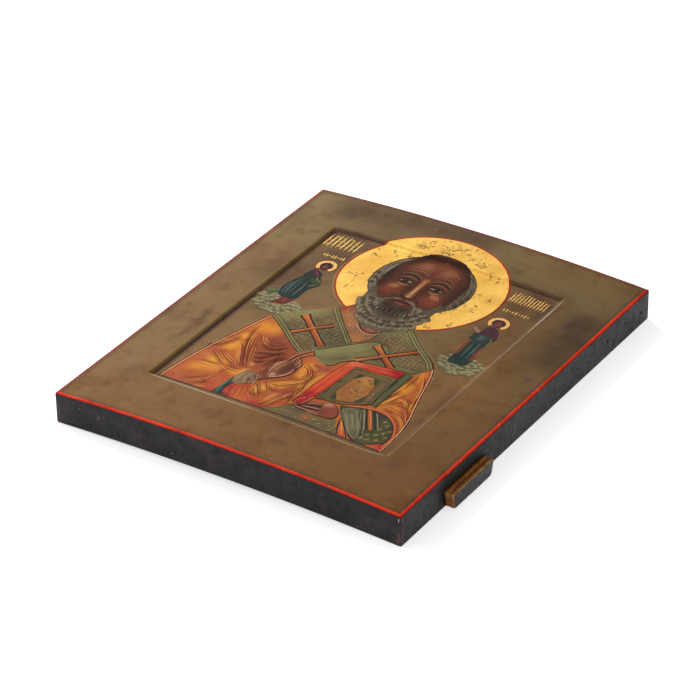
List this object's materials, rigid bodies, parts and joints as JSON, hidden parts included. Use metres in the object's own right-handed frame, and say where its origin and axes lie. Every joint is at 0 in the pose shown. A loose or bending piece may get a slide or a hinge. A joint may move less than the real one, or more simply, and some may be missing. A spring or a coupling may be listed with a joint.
{
  "type": "icon panel",
  "caption": "Painted devotional panel with a recessed picture field, gilded halo, bowed boards and sliding dovetail back battens.",
  "frame": {"origin": "centre of the panel's back, on the plane of the batten undersides that it lies on", "axes": "+X to the picture's right, +Y to the picture's top, +Z out of the painted front"},
  "size_m": [0.273, 0.31, 0.0275],
  "materials": {
    "board_wood": "old planed softwood, darkened",
    "batten_wood": "bare brown hardwood, worn",
    "side_paint": "near-black paint, dull",
    "linen": "plain woven, sized with glue",
    "gesso": "scraped smooth chalk ground",
    "ground_colour": "olive-brown tempera under aged varnish",
    "red_line": "vermilion tempera, chipped",
    "gold_leaf": "burnished gold leaf, worn",
    "gold_paint": "painted gold, worn",
    "cloud_green": "pale green tempera under varnish",
    "flesh_paint": "dark red-brown tempera under varnish",
    "teal_paint": "blue-green tempera under varnish",
    "purple_paint": "dark purple tempera under varnish",
    "robe_paint": "orange tempera with red-brown folds under varnish",
    "hair_paint": "grey tempera in fine strokes under varnish",
    "crimson_paint": "red tempera under varnish",
    "stole_paint": "olive tempera with fine ornament under varnish",
    "ochre_paint": "ochre tempera with fine ornament under varnish"
  },
  "bodies": {
    "panel": {"board_left": "board_wood", "board_centre": "board_wood", "board_right": "board_wood", "linen_canvas": "linen", "gesso_ground": "gesso", "ground_colour": "ground_colour", "side_paint_left": "side_paint", "side_paint_right": "side_paint", "side_paint_top": "side_paint", "side_paint_bottom": "side_paint", "border_red": "red_line", "halo_gold": "gold_leaf", "halo_ring_red": "red_line", "ornament_left": "gold_paint", "ornament_right": "gold_paint", "cloud_left": "cloud_green", "cloud_right": "cloud_green", "side_halo_left": "gold_leaf", "side_halo_right": "gold_leaf", "side_head_left": "flesh_paint", "side_head_right": "flesh_paint", "side_robe_left": "teal_paint", "side_robe_right": "teal_paint", "side_veil_right": "purple_paint", "robe": "robe_paint", "hair": "hair_paint", "head": "flesh_paint", "sleeve_lining": "teal_paint", "inner_sleeve": "crimson_paint", "robe_fold": "robe_paint", "stole_band_left": "stole_paint", "stole_band_right": "stole_paint", "stole_drop": "stole_paint", "stole_hang": "stole_paint", "stole_end": "stole_paint", "collar": "ochre_paint", "beard": "hair_paint", "cross_left": "robe_paint", "cross_right": "robe_paint", "book_edges": "crimson_paint", "book_cover": "stole_paint", "book_panel": "ochre_paint", "cuff": "ochre_paint", "blessing_hand": "flesh_paint", "holding_hand": "flesh_paint", "hem_triangle": "robe_paint"},
    "lower_batten": {"batten_lower": "batten_wood", "batten_lower_end_paint": "side_paint"},
    "upper_batten": {"batten_upper": "batten_wood", "batten_upper_end_paint": "side_paint"}
  },
  "joints": [
    {"name": "lower_batten_slide", "type": "slide", "parent": "panel", "child": "lower_batten", "axis": [1, 0, 0], "range_m": [0, 0.26]},
    {"name": "upper_batten_slide", "type": "slide", "parent": "panel", "child": "upper_batten", "axis": [-1, 0, 0], "range_m": [0, 0.26]}
  ]
}
